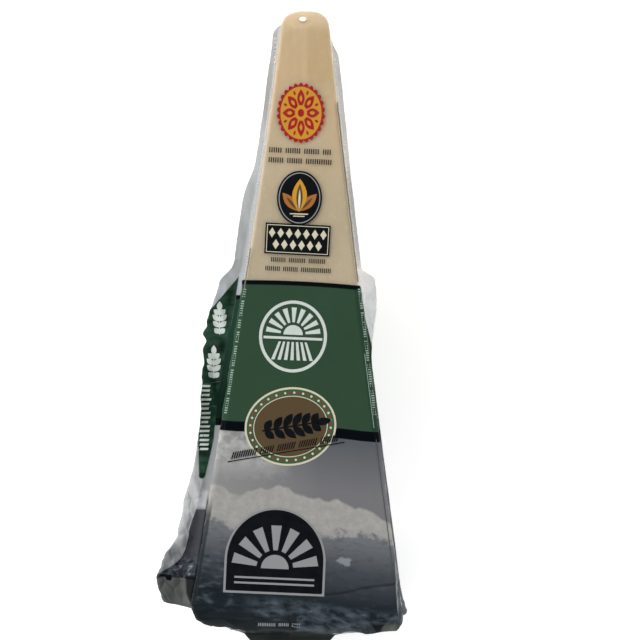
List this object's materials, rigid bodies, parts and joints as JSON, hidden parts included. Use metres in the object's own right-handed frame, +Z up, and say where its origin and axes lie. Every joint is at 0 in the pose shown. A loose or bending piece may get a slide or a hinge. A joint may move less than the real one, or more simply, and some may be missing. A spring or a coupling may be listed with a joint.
{
  "type": "vacuum-packed wedge of hard grating cheese",
  "caption": "Tall narrow wedge of hard grating cheese, shrunk tight in a printed film bag with crumpled side fins, lying on its back to be set down, carried or stored.",
  "frame": {"origin": "bottom centre of the bounding box: on the surface that the pack lies on, under the middle of the whole with its fins and tab", "axes": "+Y along the pack from the rind end to the narrow tip, +X to the right as the shown face is read, +Z up from the back face to the shown front face"},
  "size_m": [0.0898, 0.231, 0.1],
  "materials": {
    "printed_film": "satin",
    "cheese": "matte"
  },
  "bodies": {
    "root": {"wedge_pack": "printed_film"}
  },
  "joints": []
}
